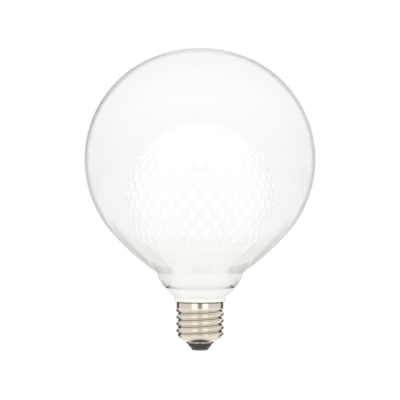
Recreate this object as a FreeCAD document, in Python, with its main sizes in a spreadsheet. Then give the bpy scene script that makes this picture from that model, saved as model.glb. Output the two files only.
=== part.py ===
"""Globe bulb: a quilted opal diffuser inside a clear glass globe, on a moulded collar and a screw cap.

Millimetres. +Z runs up the bulb's axis, and the origin is the middle of the centre contact's face.
"""

import FreeCAD
import Part
import Sketcher

import math
import operator
import os

SIZES = {
    # Centre contact
    "contact_radius": 4.6,
    "contact_thickness": 0.9,
    "contact_round": 0.8,
    "stem_radius": 1.5,
    "stem_bore_radius": 0.65,
    "stem_web": 2.4,
    # Insulator
    "insulator_tip_radius": 4.75,
    "insulator_top": 7.2,
    "insulator_flange": 1.7,
    # Screw shell
    "shell_sheet": 0.3,
    "mouth_radius": 7.5,
    "mouth_height": 4.0,
    "mouth_lip": 0.6,
    "cone_height": 4.1,
    "skirt_inset": 0.3,
    "skirt_length": 3.7,
    "shell_height": 22.3,
    "thread_radius": 13.05,
    "thread_land": 0.06,
    "thread_depth": 1.09,
    "thread_pitch": 3.629,
    "thread_turns": 5.12,
    "thread_run_out": 0.65,
    # Collar
    "stub_gap": 0.21,
    "stub_wall": 1.25,
    "stub_clearance": 2.25,
    "stub_floor": 0.8,
    "stub_mouth_radius": 8.4,
    "stub_step": 2.4,
    "collar_ring_step": 1.25,
    "collar_ring_height": 2.7,
    "collar_ring_round": 1.1,
    "collar_height": 7.0,
    "collar_edge": 0.4,
    "collar_inset": 0.35,
    "spigot_height": 2.7,
    "spigot_wall": 1.5,
    "spigot_depth": 6.0,
    # Clear globe
    "globe_diameter": 125.0,
    "globe_wall": 0.9,
    "globe_side_offset": 2.4,
    "crown_half_angle": 12.0,
    "shoulder_top_angle": 42.0,
    "shoulder_foot_angle": 54.0,
    "neck_curve": 12.6,
    "neck_tilt": 12.0,
    "neck_blend": 2.0,
    "lip_tilt": 50.0,
    "lip_radius": 18.75,
    # Opal diffuser
    "diffuser_diameter": 82.0,
    "diffuser_wall": 1.2,
    "diffuser_cone_angle": 46.0,
    "diffuser_neck_height": 9.0,
    "diffuser_fillet": 8.0,
    "quilt_relief": 0.6,
    "quilt_bed": 0.25,
    "quilt_columns": 32,
    "quilt_rows": 11,
    "quilt_bottom": -45.0,
    "quilt_top": 37.5,
    # Seals under the two glass lips
    "glass_gap": 1.35,
    "seal_thickness": 0.6,
    "seal_width": 1.0,
    # Light-emitting board and its spreader
    "spreader_thickness": 1.2,
    "spreader_flange": 5.0,
    "spreader_rim": 0.25,
    "led_board_inset": 0.75,
    "led_board_thickness": 1.0,
    "chip_length": 3.5,
    "chip_width": 2.8,
    "chip_height": 0.7,
    "chip_circle": 6.8,
    "chip_count": 10,
    "screw_inset": 1.42,
    "screw_radius": 0.9,
    "screw_length": 2.9,
    "screw_head_radius": 1.7,
    "screw_head_height": 1.2,
    "screw_slot": 0.4,
    # Driver
    "board_side_gap": 0.34,
    "board_headroom": 5.25,
    "board_thickness": 1.2,
    "rail_reach": 1.4,
    "rail_thickness": 0.9,
    "rail_length": 14.0,
    "component_stand": 1.25,
    "component_drop": 7.0,
    "capacitor_gap": 0.61,
    "capacitor_offset": 0.4,
    "capacitor_length": 11.5,
    "capacitor_crimp_height": 1.6,
    "capacitor_crimp_depth": 0.3,
    "capacitor_crimp_reach": 0.45,
    "capacitor_edge": 0.35,
    "inductor_radius": 3.4,
    "inductor_length": 5.4,
    "inductor_flange": 0.85,
    "inductor_winding_depth": 0.4,
    "inductor_gap": 0.74,
    "rectifier_length": 4.7,
    "rectifier_height": 3.9,
    "rectifier_depth": 2.4,
    "driver_chip_length": 4.9,
    "driver_chip_height": 3.9,
    "driver_chip_depth": 1.5,
    "chip_spacing": 0.6,
    "resistor_radius": 1.6,
    "resistor_length": 9.0,
    "resistor_end": 2.0,
    "resistor_slope": 0.7,
    "resistor_waist_depth": 0.25,
    # Leads
    "live_lead_radius": 0.55,
    "live_lead_reach": 4.75,
    "neutral_lead_radius": 0.35,
    "neutral_lead_reach": 5.25,
    "neutral_lead_drop": 1.1,
    "neutral_lead_bend": 1.2,
    "led_lead_radius": 0.4,
    "led_lead_spread": 4.0,
    "led_lead_overlap": 5.0,
    "led_lead_proud": 0.8,
    # Clearances
    "press_gap": 0.08,
    "slide_gap": 0.15,
    "solder_gap": 0.03,
    "hole_gap": 0.3,
}

OPERATIONS = {"+": operator.add, "-": operator.sub, "*": operator.mul, "/": operator.truediv}
UP = FreeCAD.Vector(0, 0, 1)
ON_EDGE = FreeCAD.Rotation(FreeCAD.Vector(1, 0, 0), 90)
# Turns in one stretch of the swept thread
HELIX_SEGMENT = 0.5

doc = FreeCAD.newDocument("GlobeBulb")
sheet = doc.addObject("Spreadsheet::Sheet", "Sizes")
for row, (alias, number) in enumerate(SIZES.items(), start=1):
    sheet.set(f"A{row}", alias)
    sheet.set(f"B{row}", str(number))
    sheet.setAlias(f"B{row}", alias)
doc.recompute()


class Size:
    """A length or an angle, held as a number and as the expression over the sheet that drives it."""

    def __init__(self, text, value):
        self.text = text
        self.value = value

    def _with(self, sign, other):
        other = as_size(other)
        return Size(f"({self.text} {sign} {other.text})", OPERATIONS[sign](self.value, other.value))

    def __add__(self, other):
        return self._with("+", other)

    def __sub__(self, other):
        return self._with("-", other)

    def __mul__(self, other):
        return self._with("*", other)

    def __truediv__(self, other):
        return self._with("/", other)


def as_size(number):
    """A plain number as a Size."""
    return number if isinstance(number, Size) else Size(repr(number), number)


def size(alias):
    """A driving dimension from the sheet."""
    return Size(f"Sizes.{alias}", float(sheet.get(alias)))


def cosine(angle):
    return Size(f"cos({angle.text} * 1 deg)", math.cos(math.radians(angle.value)))


def sine(angle):
    return Size(f"sin({angle.text} * 1 deg)", math.sin(math.radians(angle.value)))


def root(number):
    return Size(f"sqrt({number.text})", math.sqrt(number.value))


def bind(thing, **sizes):
    """Drive properties of a document object from the sheet."""
    for name, value in sizes.items():
        thing.setExpression(name.replace("__", "."), as_size(value).text)


def bind_place(thing, x=0.0, y=0.0, z=0.0):
    """Drive an object's position from the sheet."""
    bind(thing, Placement__Base__x=x, Placement__Base__y=y, Placement__Base__z=z)


def arc_between(start, end, radius, side):
    """The short arc from start to end, its centre to the left (side 1) or right (side -1) of the way."""
    chord = end - start
    left = FreeCAD.Vector(-chord.y, chord.x, 0).normalize()
    lift = math.sqrt(radius**2 - (chord.Length / 2) ** 2)
    centre = (start + end) / 2 + left * (side * lift)
    first, last = (start, end) if side > 0 else (end, start)
    angles = [math.atan2(p.y - centre.y, p.x - centre.x) for p in (first, last)]
    return Part.ArcOfCircle(Part.Circle(centre, UP, radius), *angles)


def draw(sketch, corners, closed=True):
    """Draw an outline in a sketch through corners (across, up), each driven from the sheet.

    A third entry (radius, side) turns the run to the next corner into an arc. None lies on the axis.
    """
    points = [
        FreeCAD.Vector(*(0.0 if entry is None else as_size(entry).value for entry in corner[:2]), 0)
        for corner in corners
    ]
    runs = len(corners) if closed else len(corners) - 1
    ends = []
    for index in range(runs):
        start, end = points[index], points[(index + 1) % len(points)]
        bend = corners[index][2] if len(corners[index]) > 2 else None
        if bend is None:
            run = sketch.addGeometry(Part.LineSegment(start, end))
            ends.append((run, 1, 2))
            continue
        radius, side = bend
        run = sketch.addGeometry(arc_between(start, end, radius.value, side))
        ends.append((run, 1, 2) if side > 0 else (run, 2, 1))
        dimension(sketch, radius, "Radius", run)
    for index, corner in enumerate(corners):
        run, first, last = ends[index] if index < runs else ends[-1]
        if index >= runs:
            first = last
        elif closed or index > 0:
            before = ends[index - 1]
            sketch.addConstraint(Sketcher.Constraint("Coincident", before[0], before[2], run, first))
        for entry, axis, kind in ((corner[0], -2, "DistanceX"), (corner[1], -1, "DistanceY")):
            if entry is None:
                sketch.addConstraint(Sketcher.Constraint("PointOnObject", run, first, axis))
            else:
                dimension(sketch, entry, kind, -1, 1, run, first)


def dimension(sketch, value, kind, *places):
    """One dimension of a sketch, driven from the sheet."""
    value = as_size(value)
    index = sketch.addConstraint(Sketcher.Constraint(kind, *places, value.value))
    sketch.setExpression(f"Constraints[{index}]", value.text)


def draw_circle(sketch, x, y, radius):
    """A circle in a sketch, driven from the sheet. None puts its centre on the axis."""
    centre = FreeCAD.Vector(*(0.0 if entry is None else as_size(entry).value for entry in (x, y)), 0)
    circle = sketch.addGeometry(Part.Circle(centre, UP, as_size(radius).value))
    dimension(sketch, radius, "Radius", circle)
    for entry, axis, kind in ((x, -2, "DistanceX"), (y, -1, "DistanceY")):
        if entry is None:
            sketch.addConstraint(Sketcher.Constraint("PointOnObject", circle, 3, axis))
        else:
            dimension(sketch, entry, kind, -1, 1, circle, 3)


def draw_rectangle(sketch, x_low, x_high, y_low, y_high):
    """An upright rectangle in a sketch, driven from the sheet."""
    draw(sketch, [(x_low, y_low), (x_high, y_low), (x_high, y_high), (x_low, y_high)])


def walked_back(corners):
    """The same run of corners from its far end, with each arc turned to match."""
    bends = [corner[2] if len(corner) > 2 else None for corner in corners[:-1]]
    flipped = [None if bend is None else (bend[0], -bend[1]) for bend in bends]
    return [(*corner[:2], bend) for corner, bend in zip(reversed(corners), [*reversed(flipped), None])]


def new_body(label):
    body = doc.addObject("PartDesign::Body", label)
    body.Label = label
    return body


def new_sketch(body, name, role="XZ_Plane", height=None):
    """A sketch on one of the body's own planes, raised by height along that plane's normal."""
    sketch = body.newObject("Sketcher::SketchObject", f"{body.Name}_{name}")
    plane = next(p for p in body.Origin.OriginFeatures if p.Role == role)
    sketch.AttachmentSupport = [(plane, "")]
    sketch.MapMode = "FlatFace"
    if height is not None:
        bind(sketch, AttachmentOffset__Base__z=height)
    return sketch


def revolve(body, corners):
    """Turn an outline (radius, height) about the bulb's axis."""
    sketch = new_sketch(body, "outline")
    draw(sketch, corners)
    feature = body.newObject("PartDesign::Revolution", f"{body.Name}_turned")
    feature.Profile = sketch
    feature.ReferenceAxis = (sketch, ["V_Axis"])
    feature.Angle = 360.0
    doc.recompute()
    return feature


def extrude(body, kind, sketch, length, reverse=False):
    """Pad or pocket a sketch, and make sure that the solid grew or shrank."""
    before = body.Shape.Volume if body.Tip else 0.0
    feature = body.newObject(f"PartDesign::{kind}", f"{sketch.Name}_{kind.lower()}")
    feature.Profile = sketch
    feature.Reversed = reverse
    bind(feature, Length=length)
    doc.recompute()
    grew = body.Shape.Volume - before
    if (kind == "Pad") != (grew > 0) or grew == 0:
        raise RuntimeError(f"{feature.Name} changed the volume by {grew}")
    return feature


def turned(label, corners):
    """A piece that is one outline turned about the axis."""
    body = new_body(label)
    revolve(body, corners)
    return body


def loose_revolution(name, corners):
    """A turned solid outside any body, for use in a boolean."""
    sketch = doc.addObject("Sketcher::SketchObject", f"{name}_outline")
    sketch.Placement = FreeCAD.Placement(FreeCAD.Vector(), ON_EDGE)
    draw(sketch, corners)
    solid = doc.addObject("Part::Revolution", name)
    solid.Source = sketch
    solid.Axis = (0, 0, 1)
    solid.Angle = 360.0
    solid.Solid = True
    return solid


def boolean(kind, label, base, tool):
    """Part::Cut or Part::Fuse of two document objects."""
    result = doc.addObject(f"Part::{kind}", label)
    result.Base = base
    result.Tool = tool
    result.Label = label
    return result


NOTHING = Size("0", 0.0)

# Heights of the faces that the pieces are stacked on
rim_z = size("mouth_height") + size("shell_height")
ledge_z = rim_z + size("collar_height")
lip_z = ledge_z + size("seal_thickness")
spigot_z = ledge_z + size("spigot_height")
spreader_z = spigot_z + size("spreader_thickness")
led_board_z = spreader_z + size("led_board_thickness")
stub_z = size("insulator_top") + size("stub_clearance")
floor_z = stub_z + size("stub_floor")
board_top_z = spigot_z - size("board_headroom")
thread_top_z = rim_z - size("skirt_length") - size("thread_run_out")
neutral_top_z = floor_z + size("neutral_lead_reach")

# Radii that one piece takes from another
inner_root_radius = size("thread_radius") - size("thread_depth") - size("shell_sheet")
stub_radius = inner_root_radius - size("stub_gap")
bore_radius = stub_radius - size("stub_wall")
diffuser_neck_radius = size("lip_radius") - size("globe_wall") - size("glass_gap")
diffuser_bore_radius = diffuser_neck_radius - size("diffuser_wall")
spigot_radius = diffuser_bore_radius - size("slide_gap") * 2
spigot_bore_radius = spigot_radius - size("spigot_wall")
collar_radius = size("lip_radius") - size("collar_inset")
skirt_radius = size("thread_radius") - size("skirt_inset")
shell_bore_radius = skirt_radius - size("shell_sheet")
mouth_bore_radius = size("mouth_radius") - size("shell_sheet")
board_face_y = size("live_lead_radius") * -1 - size("solder_gap")
board_back_y = board_face_y - size("board_thickness")
board_half_width = root(bore_radius * bore_radius - board_back_y * board_back_y) - size("board_side_gap")
spreader_radius = spigot_radius - size("spreader_rim")
flange_radius = spigot_bore_radius - size("press_gap")
flange_bore = flange_radius - size("spreader_thickness")
screw_circle = flange_bore - size("screw_inset")


def globe_run(inset):
    """The globe's outline from its lip up to its crown, moved into the glass by inset.

    Five arcs follow each other tangent: neck, hollow blend, long shoulder, side and a flatter crown.
    """
    top, foot = size("shoulder_top_angle"), size("shoulder_foot_angle")
    crown, neck, lip = size("crown_half_angle"), size("neck_tilt"), size("lip_tilt")
    neck_radius, blend_radius = size("neck_curve"), size("neck_blend")
    offset = size("globe_side_offset")
    side_radius = size("globe_diameter") / 2 - offset
    crown_radius = side_radius + offset / sine(crown)
    neck_r = size("lip_radius") + neck_radius * (cosine(neck) - cosine(lip))
    neck_z = lip_z + neck_radius * (sine(lip) - sine(neck))
    foot_r = neck_r + blend_radius * (cosine(neck) - cosine(foot))
    foot_z = neck_z + blend_radius * (sine(foot) - sine(neck))
    shoulder_radius = (offset + side_radius * cosine(top) - foot_r) / (cosine(top) - cosine(foot))
    side_z = foot_z + shoulder_radius * (sine(foot) - sine(top)) + side_radius * sine(top)
    crown_z = side_z - offset * cosine(crown) / sine(crown)
    # The lip is ground flat, so its inner corner lies on the moved neck arc at the lip's height
    lip_drop = neck_radius * sine(lip)
    lip_arc = neck_radius - inset
    lip_r = size("lip_radius") - neck_radius * cosine(lip) + root(lip_arc * lip_arc - lip_drop * lip_drop)
    return [
        (lip_r, lip_z, (lip_arc, 1)),
        (neck_r - inset * cosine(neck), neck_z + inset * sine(neck), (blend_radius + inset, -1)),
        (foot_r - inset * cosine(foot), foot_z + inset * sine(foot), (shoulder_radius - inset, 1)),
        (
            offset + (side_radius - inset) * cosine(top),
            side_z - (side_radius - inset) * sine(top),
            (side_radius - inset, 1),
        ),
        (
            (crown_radius - inset) * sine(crown),
            crown_z + (crown_radius - inset) * cosine(crown),
            (crown_radius - inset, 1),
        ),
        (None, crown_z + crown_radius - inset),
    ]


def make_outer_globe():
    """Blown clear glass of an even wall, open at its lip."""
    return turned("outer_globe", globe_run(NOTHING) + walked_back(globe_run(size("globe_wall"))))


def diffuser_run(radius, neck_r, fillet):
    """The diffuser's outline from its neck up: a neck curves into a cone, which meets a ball tangent."""
    angle = size("diffuser_cone_angle")
    outer = size("diffuser_diameter") / 2
    bend_z = lip_z + size("diffuser_neck_height")
    ball_z = bend_z + (outer - diffuser_neck_radius * cosine(angle)) / sine(angle)
    cone_z = ball_z - (radius - neck_r * cosine(angle)) / sine(angle)
    # The fillet's tangent length along the neck and along the cone
    reach = fillet * sine(angle / 2) / cosine(angle / 2)
    return ball_z, [
        (neck_r, cone_z - reach, (fillet, -1)),
        (neck_r + reach * sine(angle), cone_z + reach * cosine(angle)),
        (radius * cosine(angle), ball_z - radius * sine(angle), (radius, 1)),
        (None, ball_z + radius),
    ]


def quilted_belt(ball_z):
    """The raised diamonds round the diffuser: a closed band of small pyramids in staggered rows."""
    columns = int(size("quilt_columns").value)
    rows = int(size("quilt_rows").value)
    peak = size("diffuser_diameter").value / 2
    valley = peak - size("quilt_relief").value
    sunk = valley - 2 * size("quilt_bed").value
    bottom, top = size("quilt_bottom").value, size("quilt_top").value
    pitch = 2 * math.pi / columns

    def point(row, column, radius):
        latitude = math.radians(bottom + (top - bottom) * row / rows)
        turn = (column + 0.5 * (row % 2)) * pitch
        across = radius * math.cos(latitude)
        return FreeCAD.Vector(
            across * math.cos(turn), across * math.sin(turn), ball_z.value + radius * math.sin(latitude)
        )

    def corner(row, column):
        return point(row, column % columns, sunk if row in (0, rows) else valley)

    def facet(*corners):
        return Part.Face(Part.makePolygon([*corners, corners[0]]))

    facets = [
        facet(*(corner(row, column) for column in range(columns)))
        for row in (0, rows)
    ]
    for row in range(rows + 1):
        for column in range(columns):
            left, right = corner(row, column), corner(row, column + 1)
            beside = column + row % 2
            below = corner(row - 1, beside) if row > 0 else None
            above = corner(row + 1, beside) if row < rows else None
            if below is None or above is None:
                facets.append(facet(left, right, above or below))
                continue
            tip = point(row, column + 0.5, peak)
            facets += [
                facet(left, below, tip),
                facet(below, right, tip),
                facet(right, above, tip),
                facet(above, left, tip),
            ]
    shell = Part.makeCompound(facets)
    shell.sewShape()
    solid = Part.makeSolid(shell.Shells[0] if shell.Shells else Part.makeShell(shell.Faces))
    if solid.Volume < 0:
        solid.reverse()
    return solid


def make_inner_diffuser():
    """Opal glass: a smooth bulb with a quilted belt raised on it, hollowed to an even wall."""
    bed = size("quilt_relief") + size("quilt_bed")
    bulb_radius = size("diffuser_diameter") / 2 - bed
    ball_z, outside = diffuser_run(bulb_radius, diffuser_neck_radius, size("diffuser_fillet"))
    wall = size("diffuser_wall")
    inside = diffuser_run(bulb_radius - wall, diffuser_bore_radius, size("diffuser_fillet") + wall)[1]
    below = lip_z - wall
    blank = loose_revolution("diffuser_blank", [(None, lip_z), (diffuser_neck_radius, lip_z), *outside])
    hollow = loose_revolution("diffuser_hollow", [(None, below), (diffuser_bore_radius, below), *inside])
    quilt = doc.addObject("Part::Feature", "quilting")
    quilt.Shape = quilted_belt(ball_z)
    quilt.Placement = FreeCAD.Placement()
    moulded = boolean("Fuse", "quilted_bulb", blank, quilt)
    return boolean("Cut", "inner_diffuser", moulded, hollow)


def seal(label, middle_radius):
    """A flat ring of set adhesive between a glass lip and the collar's ledge."""
    inner_radius = middle_radius - size("seal_width") / 2
    outer_radius = middle_radius + size("seal_width") / 2
    return turned(
        label,
        [
            (inner_radius, ledge_z),
            (outer_radius, ledge_z),
            (outer_radius, lip_z),
            (inner_radius, lip_z),
        ],
    )


def groove_corners(inset):
    """The thread's round groove in an axial plane, its root and flanks moved into the cap by inset."""
    pitch, depth = size("thread_pitch"), size("thread_depth")
    rounding = (depth * depth + pitch * pitch / 4) / (depth * 4)
    root_centre = size("thread_radius") - depth + rounding
    crest_centre = size("thread_radius") - rounding
    turn_r, turn_z = (root_centre + crest_centre) / 2, pitch / 4
    # Shift of the point where root and flank arcs meet, along the line of their centres
    lean = inset / rounding / 2
    turn_r = turn_r - (root_centre - crest_centre) * lean
    turn_z = turn_z + pitch / 2 * lean
    flank = rounding - inset
    mouth_r = size("thread_radius") - size("thread_land") - inset
    run_in = mouth_r - crest_centre
    mouth_z = pitch / 2 - root(flank * flank - run_in * run_in)
    outside_r = size("thread_radius") + size("thread_depth")
    return [
        (mouth_r, mouth_z, (flank, -1)),
        (turn_r, turn_z, (rounding + inset, 1)),
        (turn_r, turn_z * -1, (flank, -1)),
        (mouth_r, mouth_z * -1),
        (outside_r, mouth_z * -1),
        (outside_r, mouth_z),
    ]


def thread_tool(name, inset, extra_turns):
    """The groove swept up a right-hand helix that ends at the thread's top."""
    pitch = size("thread_pitch")
    turns = size("thread_turns") + extra_turns
    start_z = thread_top_z - size("thread_turns") * pitch
    outline = doc.addObject("Sketcher::SketchObject", f"{name}_outline")
    outline.Placement = FreeCAD.Placement(FreeCAD.Vector(), ON_EDGE)
    draw(outline, groove_corners(inset))
    bind(outline, Placement__Base__z=start_z)
    helix = doc.addObject("Part::Helix", f"{name}_helix")
    helix.SegmentLength = HELIX_SEGMENT
    bind(helix, Pitch=pitch, Height=pitch * turns, Radius=size("thread_radius"))
    bind(helix, Placement__Base__z=start_z)
    sweep = doc.addObject("Part::Sweep", name)
    sweep.Sections = [outline]
    doc.recompute()
    sweep.Spine = (helix, [f"Edge{number + 1}" for number in range(len(helix.Shape.Edges))])
    sweep.Solid = True
    sweep.Frenet = True
    return sweep


def shell_corners(inset, over):
    """The shell's turned form before its thread, moved inward by inset and run on by over at both ends."""
    mouth_r = size("mouth_radius")
    crest_r = size("thread_radius") - size("thread_land")
    lip_top = size("mouth_height") + size("mouth_lip")
    slope = size("cone_height") / (crest_r - mouth_r)
    lift = inset * root(slope * slope + 1) - inset * slope
    skirt_z = rim_z - size("skirt_length")
    return [
        (None, size("mouth_height") - over),
        (mouth_r - inset, size("mouth_height") - over),
        (mouth_r - inset, lip_top + lift),
        (crest_r - inset, lip_top + size("cone_height") + lift),
        (crest_r - inset, skirt_z),
        (skirt_radius - inset, skirt_z),
        (skirt_radius - inset, rim_z + over),
        (None, rim_z + over),
    ]


def make_screw_shell():
    """Thin rolled sheet: skirt, round thread and coned end, the thread standing out inside as well."""
    sheet_gauge = size("shell_sheet")
    # The ridge inside runs on past the groove's end by twice the sheet, so the end is closed as well
    run_on = sheet_gauge * 2 / (size("thread_radius") * (2 * math.pi))
    outside = boolean(
        "Cut",
        "shell_outside",
        loose_revolution("shell_blank", shell_corners(NOTHING, NOTHING)),
        thread_tool("thread_groove", NOTHING, NOTHING),
    )
    inside = boolean(
        "Cut",
        "shell_inside",
        loose_revolution("shell_hollow", shell_corners(sheet_gauge, size("mouth_lip"))),
        thread_tool("thread_ridge", sheet_gauge, run_on),
    )
    return boolean("Cut", "screw_shell", outside, inside)


def make_cap_insulator():
    """Black moulding: a cone outside the cap, a collar through its mouth and a flange on the cone within."""
    gap = size("press_gap")
    tip_z = size("contact_thickness")
    hole_radius = size("stem_radius") + gap
    waist_radius = mouth_bore_radius - gap
    flange_radius = waist_radius + size("insulator_flange")
    crest_r = size("thread_radius") - size("thread_land")
    slope = size("cone_height") / (crest_r - size("mouth_radius"))
    inset = size("shell_sheet") + gap
    seat_z = size("mouth_height") + size("mouth_lip") + inset * (root(slope * slope + 1) - slope)
    return turned(
        "cap_insulator",
        [
            (hole_radius, tip_z),
            (size("insulator_tip_radius"), tip_z),
            (waist_radius, size("mouth_height")),
            (waist_radius, seat_z),
            (flange_radius, seat_z + size("insulator_flange") * slope),
            (flange_radius, size("insulator_top")),
            (hole_radius, size("insulator_top")),
        ],
    )


def make_centre_contact():
    """Metal button with a rounded edge and a bored stem that takes the live lead."""
    face_radius = size("contact_radius") - size("contact_round")
    stem_top = size("insulator_top") - size("press_gap") * 2
    return turned(
        "centre_contact",
        [
            (None, None),
            (face_radius, None, (size("contact_round"), 1)),
            (size("contact_radius"), size("contact_round")),
            (size("contact_radius"), size("contact_thickness")),
            (size("stem_radius"), size("contact_thickness")),
            (size("stem_radius"), stem_top),
            (size("stem_bore_radius"), stem_top),
            (size("stem_bore_radius"), size("stem_web")),
            (None, size("stem_web")),
        ],
    )


def make_collar():
    """White moulding: flared ring, glass ledge, spigot for the diffuser and a hollow stub inside the cap."""
    ring_r, rounding = skirt_radius + size("collar_ring_step"), size("collar_ring_round")
    fit_radius = shell_bore_radius - size("slide_gap")
    step_z = rim_z - size("stub_step")
    seat_z = rim_z + size("press_gap")
    throat_z = spigot_z - size("spigot_depth")
    body = new_body("collar")
    revolve(
        body,
        [
            (stub_radius, stub_z),
            (stub_radius, step_z),
            (fit_radius, step_z),
            (fit_radius, seat_z),
            (ring_r - rounding, seat_z, (rounding, 1)),
            (ring_r, seat_z + rounding),
            (ring_r, rim_z + size("collar_ring_height")),
            (collar_radius, ledge_z - size("collar_edge")),
            (collar_radius, ledge_z),
            (spigot_radius, ledge_z),
            (spigot_radius, spigot_z),
            (spigot_bore_radius, spigot_z),
            (spigot_bore_radius, throat_z),
            (bore_radius, throat_z - (spigot_bore_radius - bore_radius)),
            (bore_radius, floor_z),
            (size("stub_mouth_radius"), floor_z),
            (size("stub_mouth_radius"), stub_z),
        ],
    )
    # Rails each side of the driver board's two edges
    rails = new_sketch(body, "rails", "XY_Plane", floor_z)
    inner_x = bore_radius - size("rail_reach")
    outer_x = bore_radius + size("stub_wall") / 4
    near = board_face_y + size("slide_gap")
    far = board_back_y - size("slide_gap")
    for low, high in ((near, near + size("rail_thickness")), (far - size("rail_thickness"), far)):
        draw_rectangle(rails, inner_x, outer_x, low, high)
        draw_rectangle(rails, outer_x * -1, inner_x * -1, low, high)
    extrude(body, "Pad", rails, size("rail_length"))
    # Channel outside the stub for the neutral lead
    channel = new_sketch(body, "lead_channel", "XY_Plane", stub_z)
    half = size("neutral_lead_radius") + size("slide_gap")
    floor_y = (neutral_lead_y() - half) * -1
    draw_rectangle(channel, half * -1, half, size("thread_radius") * -1, floor_y)
    extrude(body, "Pocket", channel, neutral_top_z - stub_z + size("slide_gap"), reverse=True)
    return body


def neutral_lead_y():
    """How far from the axis the neutral lead runs, pressed to the inside of the thread's root."""
    return inner_root_radius - size("solder_gap") - size("neutral_lead_radius")


def make_heat_spreader():
    """Aluminium dish: a flat top on the collar's spigot and a flange pressed into its bore."""
    body = new_body("heat_spreader")
    revolve(
        body,
        [
            (None, spigot_z),
            (flange_bore, spigot_z),
            (flange_bore, spigot_z - size("spreader_flange")),
            (flange_radius, spigot_z - size("spreader_flange")),
            (flange_radius, spigot_z),
            (spreader_radius, spigot_z),
            (spreader_radius, spreader_z),
            (None, spreader_z),
        ],
    )
    drill_board_holes(body, spigot_z, size("spreader_thickness"))
    return body


def led_lead_y():
    """The LED pins lie against the driver board's front face."""
    return board_face_y + size("led_lead_radius") + size("solder_gap")


def drill_board_holes(body, height, thickness):
    """Two holes for the LED pins and two for the screws, through a plate that starts at height."""
    holes = new_sketch(body, "holes", "XY_Plane", height)
    pin_hole = size("led_lead_radius") + size("hole_gap")
    screw_hole = size("screw_radius") + size("press_gap")
    for sign in (1, -1):
        draw_circle(holes, size("led_lead_spread") * sign, led_lead_y(), pin_hole)
        draw_circle(holes, None, screw_circle * sign, screw_hole)
    extrude(body, "Pocket", holes, thickness, reverse=True)


def make_led_board():
    """Round aluminium-core board."""
    body = new_body("led_board")
    disc = new_sketch(body, "disc", "XY_Plane", spreader_z)
    draw_circle(disc, None, None, spreader_radius - size("led_board_inset"))
    extrude(body, "Pad", disc, size("led_board_thickness"))
    drill_board_holes(body, spreader_z, size("led_board_thickness"))
    return body


def make_led_chips():
    """A ring of light-emitting chips on the board, as one group."""
    body = new_body("led_chips")
    chip = new_sketch(body, "chip", "XY_Plane", led_board_z)
    half_width, half_length = size("chip_width") / 2, size("chip_length") / 2
    draw_rectangle(
        chip,
        size("chip_circle") - half_width,
        size("chip_circle") + half_width,
        half_length * -1,
        half_length,
    )
    first = extrude(body, "Pad", chip, size("chip_height"))
    ring = body.newObject("PartDesign::PolarPattern", "chip_ring")
    ring.Originals = [first]
    ring.Axis = (chip, ["N_Axis"])
    ring.Angle = 360.0
    bind(ring, Occurrences=size("chip_count"))
    body.Tip = ring
    doc.recompute()
    return body


def make_board_screws():
    """Two slotted screws through the board into the spreader, as one group."""
    body = new_body("board_screws")
    head_top = led_board_z + size("screw_head_height")
    for name, height, radius, length, reverse in (
        ("heads", led_board_z, size("screw_head_radius"), size("screw_head_height"), False),
        ("shanks", led_board_z, size("screw_radius"), size("screw_length"), True),
    ):
        rounds = new_sketch(body, name, "XY_Plane", height)
        for sign in (1, -1):
            draw_circle(rounds, None, screw_circle * sign, radius)
        extrude(body, "Pad", rounds, length, reverse)
    slots = new_sketch(body, "slots", "XY_Plane", head_top)
    half = size("screw_slot") / 2
    reach = size("screw_head_radius") + size("slide_gap")
    for sign in (1, -1):
        across = screw_circle * sign
        draw_rectangle(slots, reach * -1, reach, across - half, across + half)
    extrude(body, "Pocket", slots, size("screw_head_height") / 2)
    return body


def make_driver_board():
    """Upright circuit board, slid between the rails and standing on the stub's floor."""
    board = doc.addObject("Part::Box", "driver_board")
    board.Label = "driver_board"
    bind(
        board,
        Length=board_half_width * 2,
        Width=size("board_thickness"),
        Height=board_top_z - floor_z,
    )
    bind_place(board, x=board_half_width * -1, y=board_back_y, z=floor_z)
    return board


def block(label, length, depth, height, x, y, z):
    """A moulded chip package."""
    chip = doc.addObject("Part::Box", label)
    chip.Label = label
    bind(chip, Length=length, Width=depth, Height=height)
    bind_place(chip, x=x, y=y, z=z)
    return chip


def turned_component(label, corners, x, y, z):
    """A turned part of the driver, placed by the foot of its own axis."""
    body = turned(label, corners)
    bind_place(body, x=x, y=y, z=z)
    return body


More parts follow.
